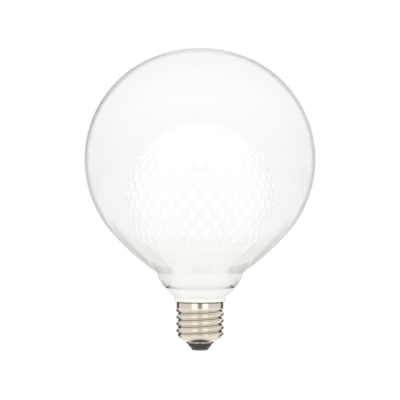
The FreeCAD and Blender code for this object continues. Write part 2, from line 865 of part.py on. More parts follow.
def make_driver_parts():
    """The parts on the driver board: two stand on its front face and three on its back."""
    gap = size("solder_gap")
    low_z = floor_z + size("component_stand")
    high_z = board_top_z - size("component_drop")
    side_x = size("led_lead_spread")

    # The can is as large as fits between the board's face, the live lead and the stub's bore
    reach = bore_radius - size("capacitor_gap")
    offset, face_y = size("capacitor_offset"), board_face_y + gap
    spread = reach + offset + face_y
    radius = root(spread * spread + reach * reach - offset * offset - face_y * face_y) - spread
    length = size("capacitor_length")
    crimp_z, crimp_reach = size("capacitor_crimp_height"), size("capacitor_crimp_reach")
    edge = size("capacitor_edge")
    capacitor = turned_component(
        "smoothing_capacitor",
        [
            (None, None),
            (radius, None),
            (radius, crimp_z - crimp_reach),
            (radius - size("capacitor_crimp_depth"), crimp_z),
            (radius, crimp_z + crimp_reach),
            (radius, length - edge),
            (radius - edge, length),
            (None, length),
        ],
        x=offset + radius,
        y=face_y + radius,
        z=low_z,
    )
    radius, length = size("resistor_radius"), size("resistor_length")
    end, slope = size("resistor_end"), size("resistor_slope")
    waist = radius - size("resistor_waist_depth")
    resistor = turned_component(
        "fuse_resistor",
        [
            (None, None),
            (radius, None),
            (radius, end),
            (waist, end + slope),
            (waist, length - end - slope),
            (radius, length - end),
            (radius, length),
            (None, length),
        ],
        x=side_x * -1,
        y=board_face_y + radius + gap,
        z=low_z,
    )
    radius, length = size("inductor_radius"), size("inductor_length")
    flange = size("inductor_flange")
    winding = radius - size("inductor_winding_depth")
    reach, far_y = bore_radius - size("inductor_gap"), board_back_y - gap - length
    inductor = turned_component(
        "inductor",
        [
            (None, None),
            (radius, None),
            (radius, flange),
            (winding, flange),
            (winding, length - flange),
            (radius, length - flange),
            (radius, length),
            (None, length),
        ],
        x=root(reach * reach - far_y * far_y) - radius,
        y=board_back_y - gap,
        z=high_z,
    )
    inductor.Placement = FreeCAD.Placement(inductor.Placement.Base, ON_EDGE)
    chips = [
        block(
            label,
            size(f"{stem}_length"),
            size(f"{stem}_depth"),
            size(f"{stem}_height"),
            x=side_x * -1 - size(f"{stem}_length") / 2,
            y=board_back_y - gap - size(f"{stem}_depth"),
            z=height,
        )
        for label, stem, height in (
            ("bridge_rectifier", "rectifier", low_z),
            ("driver_chip", "driver_chip", low_z + size("rectifier_height") + size("chip_spacing")),
        )
    ]
    return [capacitor, resistor, inductor, *chips]


def make_live_lead():
    """Straight wire from the contact's bored stem up the front face of the driver board."""
    lead = doc.addObject("Part::Cylinder", "live_lead")
    lead.Label = "live_lead"
    foot_z = size("stem_web") + size("solder_gap")
    top_z = floor_z + size("live_lead_reach")
    bind(lead, Radius=size("live_lead_radius"), Height=top_z - foot_z)
    bind_place(lead, z=foot_z)
    return lead


def make_neutral_lead():
    """Bent wire: down the back of the driver board, out under the stub and up against the shell."""
    body = new_body("neutral_lead")
    radius, bend = size("neutral_lead_radius"), size("neutral_lead_bend")
    start_y = board_back_y - radius - size("solder_gap")
    end_y = neutral_lead_y() * -1
    low_z = stub_z - size("neutral_lead_drop")
    top_z = neutral_top_z
    path = new_sketch(body, "path", "YZ_Plane")
    draw(
        path,
        [
            (start_y, top_z),
            (start_y, low_z + bend, (bend, -1)),
            (start_y - bend, low_z),
            (end_y + bend, low_z, (bend, -1)),
            (end_y, low_z + bend),
            (end_y, top_z),
        ],
        closed=False,
    )
    section = new_sketch(body, "section", "XY_Plane", top_z)
    draw_circle(section, None, start_y, radius)
    pipe = body.newObject("PartDesign::AdditivePipe", "bent_wire")
    pipe.Profile = section
    doc.recompute()
    pipe.Spine = (path, [f"Edge{number + 1}" for number in range(len(path.Shape.Edges))])
    doc.recompute()
    return body


def make_led_leads():
    """Two pins from the driver board through the spreader to the light-emitting board, as one group."""
    body = new_body("led_leads")
    foot_z = board_top_z - size("led_lead_overlap")
    pins = new_sketch(body, "pins", "XY_Plane", foot_z)
    for sign in (1, -1):
        draw_circle(pins, size("led_lead_spread") * sign, led_lead_y(), size("led_lead_radius"))
    extrude(body, "Pad", pins, led_board_z + size("led_lead_proud") - foot_z)
    return body


def write_parts(pieces):
    """Check the whole document, then write each piece to its own file."""
    doc.recompute()
    failed = [thing.Name for thing in doc.Objects if {"Invalid", "Error"} & set(thing.State)]
    if failed:
        raise RuntimeError(f"failed features: {failed}")
    for piece in pieces:
        if piece.Shape.isNull() or not piece.Shape.isValid() or not piece.Shape.Solids:
            raise RuntimeError(f"{piece.Label} has no valid solid")
    os.makedirs("parts", exist_ok=True)
    for piece in pieces:
        piece.Shape.exportStep(f"parts/{piece.Label}.step")


write_parts(
    [
        make_outer_globe(),
        make_inner_diffuser(),
        seal("globe_seal", size("lip_radius") - size("globe_wall")),
        seal("diffuser_seal", diffuser_neck_radius - size("diffuser_wall") / 2),
        make_screw_shell(),
        make_cap_insulator(),
        make_centre_contact(),
        make_collar(),
        make_heat_spreader(),
        make_led_board(),
        make_led_chips(),
        make_board_screws(),
        make_driver_board(),
        *make_driver_parts(),
        make_live_lead(),
        make_neutral_lead(),
        make_led_leads(),
    ]
)
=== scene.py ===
"""Globe bulb: the finished look of a quilted opal diffuser in a clear glass globe on a screw cap.

Laid out as an add-on: property groups hold the sizes and finishes, and one operator makes each piece.
"""

import math

import bmesh
import bpy
from bpy.props import FloatProperty, FloatVectorProperty, IntProperty, PointerProperty
from mathutils import Matrix, Vector


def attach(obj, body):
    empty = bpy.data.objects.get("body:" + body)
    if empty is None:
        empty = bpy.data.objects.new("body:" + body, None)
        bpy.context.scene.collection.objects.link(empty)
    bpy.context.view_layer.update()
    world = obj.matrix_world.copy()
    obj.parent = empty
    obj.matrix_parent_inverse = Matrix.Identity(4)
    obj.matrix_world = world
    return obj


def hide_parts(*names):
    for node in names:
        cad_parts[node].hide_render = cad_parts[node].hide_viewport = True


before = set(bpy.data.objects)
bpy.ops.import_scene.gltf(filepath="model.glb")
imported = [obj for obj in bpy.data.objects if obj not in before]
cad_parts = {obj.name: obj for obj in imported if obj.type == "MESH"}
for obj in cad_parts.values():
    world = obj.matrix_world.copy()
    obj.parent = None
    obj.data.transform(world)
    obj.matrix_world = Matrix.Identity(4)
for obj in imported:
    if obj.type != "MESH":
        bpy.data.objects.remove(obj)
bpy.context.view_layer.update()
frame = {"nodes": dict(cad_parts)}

bl_info = {
    "name": "Globe bulb",
    "version": (1, 0, 0),
    "blender": (4, 5, 0),
    "location": "View3D > Sidebar > Globe bulb",
    "description": "Builds the visible pieces, the finishes and the stage of a double-glass globe bulb",
    "category": "Object",
}

MM = 0.001
WHITE = (1.0, 1.0, 1.0)

# Points closer than this are taken as level, or as equally far from the axis
SAME = 1e-6

# The quilting's height, 0 in a valley and 1 on a tip, is kept on the mesh under this name
QUILTING = "quilting"

# Faces of the mesh across one diamond of the quilting and up one row of it
COLUMN_FACES = 8
ROW_FACES = 4

# The lamps stand round the bulb's middle, all at one distance in metres
LAMP_AIM = Vector((0.0, 0.0, 85 * MM))
LAMP_DISTANCE = 1.3


def linear(code):
    """An sRGB hex colour as linear red, green and blue."""
    shares = (((code >> shift) & 255) / 255 for shift in (16, 8, 0))
    return tuple(s / 12.92 if s <= 0.04045 else ((s + 0.055) / 1.055) ** 2.4 for s in shares)


def length(name, millimetres, description):
    """A size, written in millimetres."""
    return FloatProperty(
        name=name,
        description=description,
        default=millimetres * MM,
        precision=5,
        subtype="DISTANCE",
        unit="LENGTH",
    )


def angle(name, degrees, description):
    """An angle, written in degrees."""
    return FloatProperty(
        name=name, description=description, default=math.radians(degrees), subtype="ANGLE", unit="ROTATION"
    )


def colour(name, code, description):
    """A colour, written as sRGB hex."""
    return FloatVectorProperty(
        name=name, description=description, default=linear(code), size=3, min=0.0, max=1.0, subtype="COLOR"
    )


def strength(name, amount, description):
    """A brightness, where 1 is white."""
    return FloatProperty(name=name, description=description, default=amount, min=0.0)


class GlobeSizes(bpy.types.PropertyGroup):
    diameter: length("Diameter", 124.978, "Widest outside diameter of the clear globe")
    wall: length("Wall", 0.9, "Thickness of the blown glass")
    lip_height: length("Lip height", 33.9, "Height of the ground lip above the contact's face")
    lip_radius: length("Lip radius", 18.75, "Outside radius of the lip")
    lip_tilt: angle("Lip tilt", 50.0, "How far the wall's outside faces down at the lip")
    neck_curve: length("Neck curve", 12.6, "Radius of the cup-shaped neck in section")
    neck_tilt: angle("Neck tilt", 12.0, "How far the wall's outside faces down at the top of the neck")
    neck_blend: length("Neck blend", 2.0, "Radius of the hollow between neck and shoulder")
    shoulder_foot: angle("Shoulder foot", 54.0, "How far the wall faces down at the foot of the shoulder")
    shoulder_top: angle("Shoulder top", 42.0, "How far the wall faces down at the top of the shoulder")
    side_offset: length("Side offset", 2.4, "Distance of the side arc's centre from the axis")
    crown: angle("Crown half angle", 12.0, "Half angle of the flatter crown")


class DiffuserSizes(bpy.types.PropertyGroup):
    diameter: length("Diameter", 82.0, "Diameter over the quilted tips")
    wall: length("Wall", 1.2, "Thickness of the opal glass")
    neck_radius: length("Neck radius", 16.5, "Outside radius of the straight neck")
    neck_height: length("Neck height", 9.0, "From the lip to where neck and cone would meet")
    neck_fillet: length("Neck fillet", 8.0, "Radius of the hollow between neck and cone")
    cone: angle("Cone angle", 46.0, "How far the cone's outside faces down")
    relief: length("Relief", 1.05, "Height of the quilted tips over the smooth bulb")
    columns: IntProperty(name="Columns", description="Diamonds round the bulb", default=32, min=8)
    rows: IntProperty(name="Rows", description="Rows of valley points up the bulb", default=11, min=3)
    bottom: angle("Quilt foot", -45.0, "Latitude of the quilting's lower edge")
    top: angle("Quilt top", 37.5, "Latitude of the quilting's upper edge")


class CollarSizes(bpy.types.PropertyGroup):
    foot: length("Foot", 26.38, "Height of the collar's seat on the shell")
    ring_radius: length("Ring radius", 14.0, "Outside radius of the straight ring")
    ring_top: length("Ring top", 29.0, "Height where the flare begins")
    ring_round: length("Ring round", 1.1, "Rounding of the ring's lower edge")
    line: length("Line", 0.5, "Width of the fine line between ring and flare")
    ledge: length("Ledge", 33.3, "Height of the ledge that the glass stands on")
    radius: length("Radius", 18.4, "Outside radius at the ledge")
    edge: length("Edge", 0.4, "Height of the plain edge below the ledge")
    edge_round: length("Edge round", 0.15, "Rounding of the edges above the foot")
    spigot_radius: length("Spigot radius", 15.0, "Outside radius of the spigot in the diffuser's neck")
    spigot_top: length("Spigot top", 36.0, "Height of the spigot")
    spigot_bore: length("Spigot bore", 13.5, "Inside radius of the spigot")
    throat: length("Throat", 30.0, "Height where the spigot's bore narrows")
    bore: length("Bore", 10.2, "Inside radius of the stub")
    fit_radius: length("Fit radius", 12.3, "Radius of the step inside the shell's skirt")
    step: length("Step", 23.9, "Height of the step's lower face")
    stub_radius: length("Stub radius", 11.45, "Outside radius of the stub in the cap")
    stub_foot: length("Stub foot", 9.45, "Height of the stub's lower end")
    floor: length("Floor", 10.25, "Height of the stub's floor")
    mouth: length("Mouth", 8.4, "Radius of the hole in the stub's floor")


class CapSizes(bpy.types.PropertyGroup):
    sheet: length("Sheet", 0.3, "Thickness of the rolled sheet")
    mouth_radius: length("Mouth radius", 7.5, "Outside radius of the shell's lower mouth")
    mouth_height: length("Mouth height", 4.0, "Height of the shell's lower edge")
    mouth_lip: length("Mouth lip", 0.6, "Height of the rolled lip below the cone")
    cone_height: length("Cone height", 4.1, "Height of the coned end")
    cone_bulge: length("Cone bulge", 13.0, "Radius of the coned end's slight bulge in section")
    cone_soft: length("Cone softness", 0.7, "How softly the groove runs into the coned end")
    thread_soft: length("Thread softness", 0.12, "How softly the groove meets the crest's land")
    thread_radius: length("Thread radius", 13.05, "Radius over the thread's full crest")
    thread_land: length("Thread land", 0.06, "How far the crest's land lies below the full crest")
    thread_depth: length("Thread depth", 1.09, "Depth of the round thread")
    thread_pitch: length("Thread pitch", 3.629, "Rise of the thread in one turn")
    thread_start: length("Thread start", 3.37, "Height of the groove's start on +X")
    thread_turns: FloatProperty(
        name="Thread turns", description="Turns to where the groove runs out", default=5.12
    )
    skirt_radius: length("Skirt radius", 12.75, "Radius of the plain skirt")
    skirt_foot: length("Skirt foot", 22.6, "Height where the plain skirt begins")
    skirt_slope: length("Skirt slope", 0.5, "Height of the slope between thread and skirt")
    rim: length("Rim", 26.3, "Height of the shell's upper edge")
    insulator_tip: length("Insulator tip", 4.75, "Radius of the insulator at the contact")
    insulator_round: length("Insulator round", 0.3, "Rounding of the insulator's edge at the contact")
    insulator_waist: length("Insulator waist", 7.12, "Radius of the insulator in the shell's mouth")
    insulator_seat: length("Insulator seat", 4.8, "Height where the insulator's flange begins")
    insulator_flange: length("Insulator flange", 8.82, "Radius of the insulator inside the shell")
    insulator_top: length("Insulator top", 7.2, "Height of the insulator's upper face")
    insulator_hole: length("Insulator hole", 1.58, "Radius of the insulator's hole for the stem")
    contact_radius: length("Contact radius", 4.6, "Radius of the contact button")
    contact_height: length("Contact height", 0.9, "Thickness of the contact button")
    contact_round: length("Contact round", 0.8, "Rounding of the contact's edge")
    stem_radius: length("Stem radius", 1.5, "Radius of the contact's stem")
    stem_top: length("Stem top", 7.04, "Height of the stem's upper end")
    stem_bore: length("Stem bore", 0.65, "Radius of the stem's hole for the live lead")
    stem_floor: length("Stem floor", 2.4, "Height of the floor of the stem's hole")


class Finishes(bpy.types.PropertyGroup):
    clear_glass: colour("Clear glass", 0xFFFEFF, "Tint of the clear glass where it faces the eye")
    # Painted shade: the clear glass greys at a slant and where it turns away, standing for dark reflections
    # at its edge
    glass_side_shade: colour("Glass side", 0xF6F6F5, "Painted shade of the clear glass at a slant")
    glass_edge_shade: colour("Glass edge", 0x6A6668, "Painted shade of the clear glass where it turns away")
    # Painted shade: the glass greys from the crown down to the neck
    glass_belt_shade: colour("Glass belt", 0xFCFCFC, "Painted shade of the glass round the globe's middle")
    glass_neck_shade: colour("Glass neck", 0xF6F6F2, "Painted shade of the glass at the neck")
    opal_glass: colour("Opal glass", 0xF8F8F7, "Body colour of the opal glass")
    # Painted shade: the valleys of the quilting are greyer than the tips
    opal_valley_shade: colour("Opal glass, valley shade", 0xF2F2F1, "Painted shade of the opal glass in the quilting's valleys")
    white_moulding: colour("White moulding", 0xF1F1EB, "Collar plastic")
    nickel: colour("Nickel", 0xE8E2D4, "Bright nickel plate")
    nickel_worn: colour("Nickel, worn", 0xDED8CA, "Nickel dulled in rings by the rolling")
    # Painted shade in the thread's root and painted shadow under the collar; the lower lip is darkened with
    # it too
    nickel_root_shade: colour("Nickel, root", 0x8A8274, "Painted shade in the thread's root and under the collar, and a darker lower lip")
    insulator: colour("Insulator", 0x2E2A2C, "Moulded insulator")
    # Painted shade: the tinned contact's colour is darkened as if it lay in shadow
    contact: colour("Contact", 0x7C7663, "Tinned brass contact, darkened with painted shade")
    paper: colour("Paper", 0xF6F6F6, "Studio floor")


class StageSettings(bpy.types.PropertyGroup):
    distance: length("Camera distance", 1000.0, "From the lens to the bulb's axis")
    eye: length("Camera height", 81.4, "Height of the lens over the contact's face")
    frame: length("Frame width", 217.0, "Width of the picture at the bulb's axis")
    floor: length("Floor height", -280.0, "Height of the floor")
    ambient: strength("Ambient", 0.63, "Light from all round")
    mirrored: strength("Mirrored lamps", 0.4, "Brightness of the two softboxes that show in the gloss")
    front: strength("Front fill", 2.7, "Brightness of the fill in front")
    side: strength("Side fills", 1.3, "Brightness of the fills at the sides")
    back: strength("Back fill", 1.6, "Brightness of the fill behind")
    top: strength("Top lamp", 1.25, "Brightness of the softbox overhead")


class GlobeBulbSettings(bpy.types.PropertyGroup):
    globe: PointerProperty(type=GlobeSizes)
    diffuser: PointerProperty(type=DiffuserSizes)
    collar: PointerProperty(type=CollarSizes)
    cap: PointerProperty(type=CapSizes)
    finish: PointerProperty(type=Finishes)
    stage: PointerProperty(type=StageSettings)


def settings():
    """The add-on's settings in the present scene."""
    return bpy.context.scene.globe_bulb


class Outline:
    """A wire in the XZ plane, drawn point by point and then turned about the bulb's axis."""

    def __init__(self, across, up):
        self.mesh = bmesh.new()
        self.lift(across, up)

    def lift(self, across, up):
        """Put the pen down at a new point."""
        self.tip = self.mesh.verts.new((across, 0.0, up))

    def line(self, across, up, step=None):
        """Draw straight to a point, in parts of about step."""
        begin, goal = self.tip.co.copy(), Vector((across, 0.0, up))
        parts = max(1, round((goal - begin).length / step)) if step else 1
        for part in range(1, parts + 1):
            self.tip = bmesh.ops.extrude_vert_indiv(self.mesh, verts=[self.tip])["verts"][0]
            self.tip.co = begin.lerp(goal, part / parts)

    def lines(self, *points):
        """Draw straight from point to point."""
        for across, up in points:
            self.line(across, up)

    def arc(self, across, up, turn, step):
        """Swing the pen about a centre, counter-clockwise where turn is positive, in parts of about step."""
        centre = Vector((across, 0.0, up))
        radius = (self.tip.co - centre).length
        made = bmesh.ops.spin(
            self.mesh,
            geom=[self.tip],
            cent=centre,
            axis=(0.0, -1.0, 0.0),
            angle=turn,
            steps=max(2, round(abs(turn) * radius / step)),
        )
        self.tip = next(part for part in made["geom_last"] if isinstance(part, bmesh.types.BMVert))

    def close(self):
        """Join the last point to the first."""
        self.mesh.verts.ensure_lookup_table()
        self.mesh.edges.new((self.tip, self.mesh.verts[0]))

    def turned(self, parts):
        """The surface of the wire turned once about the axis."""
        bmesh.ops.spin(
            self.mesh,
            geom=[*self.mesh.verts, *self.mesh.edges],
            cent=(0.0, 0.0, 0.0),
            axis=(0.0, 0.0, 1.0),
            angle=math.tau,
            steps=parts,
            use_merge=True,
        )
        bmesh.ops.remove_doubles(self.mesh, verts=self.mesh.verts, dist=1e-7)
        bmesh.ops.recalc_face_normals(self.mesh, faces=self.mesh.faces)
        return self.mesh


def facing(tilt):
    """Outward direction, in the XZ plane, of a wall that faces down by tilt."""
    return Vector((math.cos(tilt), 0.0, -math.sin(tilt)))


def round_edges(mesh, edges, rounding, segments):
    """Bevel chosen edges to a rounding."""
    bmesh.ops.bevel(
        mesh,
        geom=edges,
        offset=rounding,
        offset_type="OFFSET",
        segments=segments,
        profile=0.5,
        affect="EDGES",
        material=-1,
    )


def thicken(mesh, wall, middle):
    """Turn a sheet's faces away from the middle, then give it its wall on the inner side."""
    bmesh.ops.recalc_face_normals(mesh, faces=mesh.faces)
    if sum(face.normal.dot(face.calc_center_median() - middle) for face in mesh.faces) < 0.0:
        bmesh.ops.reverse_faces(mesh, faces=mesh.faces)
    bmesh.ops.solidify(mesh, geom=mesh.faces[:], thickness=wall)


def smooth_step(low, high, value):
    """0 at low and 1 at high, with a smooth rise between them."""
    share = min(1.0, max(0.0, (value - low) / (high - low)))
    return share * share * (3.0 - 2.0 * share)


def smooth_least(first, second, soft):
    """The lesser of two lengths, blended where they lie within soft of each other."""
    share = min(1.0, max(0.0, 0.5 + 0.5 * (first - second) / soft))
    return first * (1.0 - share) + second * share - soft * share * (1.0 - share)


def new_piece(name, mesh, material, slot, *nodes, sharp=40.0):
    """Turn a bmesh into a piece that stands for its solids."""
    data = bpy.data.meshes.new(name)
    mesh.to_mesh(data)
    mesh.free()
    data.shade_smooth()
    data.set_sharp_from_angle(angle=math.radians(sharp))
    data.materials.append(material)
    piece = bpy.data.objects.new(name, data)
    bpy.context.scene.collection.objects.link(piece)
    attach(piece, "root")
    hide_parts(*nodes)
    return piece


def opaque(rgb):
    """A colour with its alpha, as sockets and ramps take it."""
    return (*rgb, 1.0)


def dimmed(rgb, share):
    """A colour at a share of its brightness."""
    return tuple(share * part for part in rgb)


def per_mm(millimetres):
    """Texture scale whose features are about that wide, on coordinates in metres."""
    return 1.0 / (millimetres * MM)


def add(tree, kind, feeds=None, stops=(), **options):
    """Add a shader node, set its options, set or link each of its inputs, and give a ramp its stops."""
    node = tree.nodes.new(f"ShaderNode{kind}")
    for key, value in options.items():
        setattr(node, key, value)
    for key, value in (feeds or {}).items():
        if isinstance(value, bpy.types.NodeSocket):
            tree.links.new(value, node.inputs[key])
        else:
            node.inputs[key].default_value = value
    if stops:
        elements = node.color_ramp.elements
        for element, (position, rgb) in zip(elements, (stops[0], stops[-1])):
            element.position = position
            element.color = opaque(rgb)
        for position, rgb in stops[1:-1]:
            elements.new(position).color = opaque(rgb)
    return node


def new_material(name):
    """An empty material, its node tree and its Object coordinates."""
    material = bpy.data.materials.new(name)
    material.use_nodes = True
    tree = material.node_tree
    tree.nodes.clear()
    place = add(tree, "TexCoord").outputs["Object"]
    return material, tree, place


def blown_clear_glass():
    """Soda-lime glass, blown into a mould.

    The blowing leaves slow waves; painted shade draws a grey line where the wall turns away from the eye.
    """
    material, tree, place = new_material("Soda-lime glass, blown clear")
    finish = settings().finish
    waves = add(tree, "TexNoise", {"Vector": place, "Scale": per_mm(45.0), "Detail": 1.0})
    bump = add(tree, "Bump", {"Height": waves.outputs["Fac"], "Strength": 0.25, "Distance": 0.4 * MM})
    # Painted shade: grey towards the edge where the wall turns away from the eye, standing for dark
    # reflections
    turning = add(tree, "LayerWeight", {"Blend": 0.5})
    edge_shade = add(
        tree,
        "ValToRGB",
        {"Fac": turning.outputs["Facing"]},
        stops=((0.15, finish.clear_glass), (0.76, finish.glass_side_shade), (0.95, finish.glass_edge_shade)),
    )
    # Painted shade: the glass is greyest at the neck, even round the belt and clear at the crown
    neck, crown = 34 * MM, 164 * MM
    lifted = add(tree, "SeparateXYZ", {0: place})
    height = add(tree, "MapRange", {"Value": lifted.outputs["Z"], "From Min": neck, "From Max": crown})
    height_shade = add(
        tree,
        "ValToRGB",
        {"Fac": height.outputs["Result"]},
        stops=((0.15, finish.glass_neck_shade), (0.23, finish.glass_belt_shade), (0.6, finish.glass_belt_shade), (0.8, WHITE)),
    )
    body = add(
        tree,
        "Mix",
        {"Factor": 1.0, "A": edge_shade.outputs["Color"], "B": height_shade.outputs["Color"]},
        data_type="RGBA",
        blend_type="MULTIPLY",
    )
    glass = add(
        tree,
        "BsdfPrincipled",
        {
            "Base Color": body.outputs["Result"],
            "Transmission Weight": 1.0,
            "IOR": 1.52,
            "Roughness": 0.0,
            "Normal": bump.outputs["Normal"],
        },
    )
    add(tree, "OutputMaterial", {"Surface": glass.outputs["BSDF"]})
    return material


def moulded_opal_glass():
    """Opal glass, blown in a quilted mould.

    It is white all through and faintly cloudy, with a soft gloss; painted shade greys the valleys of the
    quilting.
    """
    material, tree, place = new_material("Opal glass, mould-blown and quilted")
    finish = settings().finish
    cloud = add(tree, "TexNoise", {"Vector": place, "Scale": per_mm(25.0), "Detail": 3.0})
    body = add(
        tree,
        "ValToRGB",
        {"Fac": cloud.outputs["Fac"]},
        stops=((0.0, dimmed(finish.opal_glass, 0.985)), (1.0, finish.opal_glass)),
    )
    # Painted shade: the valleys of the quilting take the greyer colour and the tips keep the body colour
    pressed = add(tree, "Attribute", attribute_name=QUILTING)
    out_of_valley_shade = add(
        tree,
        "MapRange",
        {"Value": pressed.outputs["Fac"], "From Max": 0.9},
        interpolation_type="SMOOTHSTEP",
    )
    tone = add(
        tree,
        "Mix",
        {"Factor": out_of_valley_shade.outputs["Result"], "A": opaque(finish.opal_valley_shade), "B": body.outputs["Color"]},
        data_type="RGBA",
    )
    skin = add(tree, "TexNoise", {"Vector": place, "Scale": per_mm(4.0), "Detail": 2.0})
    gloss = add(tree, "MapRange", {"Value": skin.outputs["Fac"], "To Min": 0.02, "To Max": 0.07})
    bump = add(tree, "Bump", {"Height": skin.outputs["Fac"], "Strength": 0.08, "Distance": 0.1 * MM})
    opal = add(
        tree,
        "BsdfPrincipled",
        {
            "Base Color": tone.outputs["Result"],
            "Subsurface Weight": 0.12,
            "Subsurface Radius": (1.0, 0.95, 0.9),
            "Subsurface Scale": 0.6 * MM,
            "IOR": 1.52,
            "Roughness": gloss.outputs["Result"],
            "Normal": bump.outputs["Normal"],
        },
    )
    add(tree, "OutputMaterial", {"Surface": opal.outputs["BSDF"]})
    return material


def mottled(name, light, dark, roughness, grain_mm, metallic=0.0, **sockets):
    """A body colour that varies between two tones at a real grain, as roughness and bump do."""
    material, tree, place = new_material(name)
    grain = add(tree, "TexNoise", {"Vector": place, "Scale": per_mm(grain_mm), "Detail": 4.0})
    tone = add(tree, "ValToRGB", {"Fac": grain.outputs["Fac"]}, stops=((0.3, dark), (0.7, light)))
    smoothest, roughest = roughness
    gloss = add(tree, "MapRange", {"Value": grain.outputs["Fac"], "To Min": smoothest, "To Max": roughest})
    bump = add(tree, "Bump", {"Height": grain.outputs["Fac"], "Strength": 0.2, "Distance": 0.02 * MM})
    shader = add(
        tree,
        "BsdfPrincipled",
        {
            "Base Color": tone.outputs["Color"],
            "Metallic": metallic,
            "Roughness": gloss.outputs["Result"],
            "Normal": bump.outputs["Normal"],
            **sockets,
        },
    )
    add(tree, "OutputMaterial", {"Surface": shader.outputs["BSDF"]})
    return material


def rolled_nickel(sizes, finish):
    """Nickel plate, bright on rolled brass sheet.

    A warm mirror, dulled in fine rings by the rolling, with painted shade in the thread's root, a painted
    shadow along the upper edge under the collar, and a darker lower lip.
    """
    material, tree, place = new_material("Nickel plate, bright on rolled sheet")
    flattened = add(tree, "Mapping", {"Vector": place, "Scale": (1.0, 1.0, 9.0)})
    rings = add(
        tree, "TexNoise", {"Vector": flattened.outputs["Vector"], "Scale": per_mm(6.0), "Detail": 4.0}
    )
    plate = add(
        tree,
        "Mix",
        {"Factor": rings.outputs["Fac"], "A": opaque(finish.nickel_worn), "B": opaque(finish.nickel)},
        data_type="RGBA",
    )
    # Painted shade in the root, which is told by its distance from the axis, above the heights where the
    # cone becomes thread
    root = sizes.thread_radius - sizes.thread_depth
    root_band = 0.11 * MM
    cone_end, thread_begin = 7.6 * MM, 8.4 * MM
    across = add(tree, "VectorMath", {0: place, 1: (1.0, 1.0, 0.0)}, operation="MULTIPLY")
    radius = add(tree, "VectorMath", {0: across.outputs["Vector"]}, operation="LENGTH")
    deep = add(
        tree,
        "MapRange",
        {"Value": radius.outputs["Value"], "From Min": root + root_band, "From Max": root},
        interpolation_type="SMOOTHSTEP",
    )
    height = add(tree, "SeparateXYZ", {0: place}).outputs["Z"]
    threaded = add(tree, "MapRange", {"Value": height, "From Min": cone_end, "From Max": thread_begin})
    in_root_shade = add(
        tree, "Math", {0: deep.outputs["Result"], 1: threaded.outputs["Result"]}, operation="MULTIPLY"
    )
    # Painted shadow along the upper edge under the collar, and the lower lip darker, a little less so
    collar_shadow_start, collar_shadow_full = sizes.rim - 0.75 * MM, sizes.rim - 0.45 * MM
    lip_top = sizes.mouth_height + sizes.mouth_lip
    lip_darkening = 0.7
    shadow_under_collar = add(tree, "MapRange", {"Value": height, "From Min": collar_shadow_start, "From Max": collar_shadow_full})
    on_lip = add(tree, "Math", {0: height, 1: lip_top}, operation="LESS_THAN")
    at_edges = add(
        tree,
        "Math",
        {0: on_lip.outputs["Value"], 1: lip_darkening, 2: shadow_under_collar.outputs["Result"]},
        operation="MULTIPLY_ADD",
    )
    # One mask for the painted shade in the root, the painted shadow under the collar and the darker lip
    dull = add(
        tree, "Math", {0: in_root_shade.outputs["Value"], 1: at_edges.outputs["Value"]}, operation="MAXIMUM"
    )
    tone = add(
        tree,
        "Mix",
        {"Factor": dull.outputs["Value"], "A": plate.outputs["Result"], "B": opaque(finish.nickel_root_shade)},
        data_type="RGBA",
    )
    gloss = add(tree, "MapRange", {"Value": rings.outputs["Fac"], "To Min": 0.06, "To Max": 0.16})
    metal = add(
        tree,
        "BsdfPrincipled",
        {"Base Color": tone.outputs["Result"], "Metallic": 1.0, "Roughness": gloss.outputs["Result"]},
    )
    add(tree, "OutputMaterial", {"Surface": metal.outputs["BSDF"]})
    return material


class BULB_OT_outer_globe(bpy.types.Operator):
    """Turn the clear glass globe from its outline, with both its walls"""

    bl_idname = "globe_bulb.outer_globe"
    bl_label = "Clear globe"

    def execute(self, context):
        sizes = settings().globe
        lip, neck = sizes.lip_tilt, sizes.neck_tilt
        foot, top = sizes.shoulder_foot, sizes.shoulder_top
        crown = math.pi / 2 - sizes.crown
        side_radius = sizes.diameter / 2 - sizes.side_offset
        lip_point = Vector((sizes.lip_radius, 0.0, sizes.lip_height))
        cup = lip_point - sizes.neck_curve * facing(lip)
        hollow = cup + (sizes.neck_curve + sizes.neck_blend) * facing(neck)
        foot_point = hollow - sizes.neck_blend * facing(foot)
        shoulder_radius = (sizes.side_offset + side_radius * math.cos(top) - foot_point.x) / (
            math.cos(top) - math.cos(foot)
        )
        shoulder = foot_point - shoulder_radius * facing(foot)
        side = shoulder + (shoulder_radius - side_radius) * facing(top)
        crown_z = side.z - side.x * math.tan(crown)
        centres = [
            (cup, lip - neck),
            (hollow, neck - foot),
            (shoulder, foot - top),
            (side, top + crown),
            (Vector((0.0, 0.0, crown_z)), math.pi / 2 - crown),
        ]
        step = 1.6 * MM
        outline = Outline(lip_point.x, lip_point.z)
        for centre, turn in centres:
            outline.arc(centre.x, centre.z, turn, step)
        outline.lift(0.0, outline.tip.co.z - sizes.wall)
        for centre, turn in reversed(centres[1:]):
            outline.arc(centre.x, centre.z, -turn, step)
        # The lip is ground flat, so the neck's inner arc stops at the lip's height
        inner_radius = sizes.neck_curve - sizes.wall
        inner_lip = math.asin((cup.z - sizes.lip_height) / inner_radius)
        outline.arc(cup.x, cup.z, neck - inner_lip, step)
        outline.close()
        mesh = outline.turned(parts=144)
        glass = new_piece("outer_globe_glass", mesh, blown_clear_glass(), "clear_glass", "outer_globe")
        # Clear glass throws next to no shade on what it holds
        glass.visible_shadow = False
        glass.visible_diffuse = False
        return {"FINISHED"}


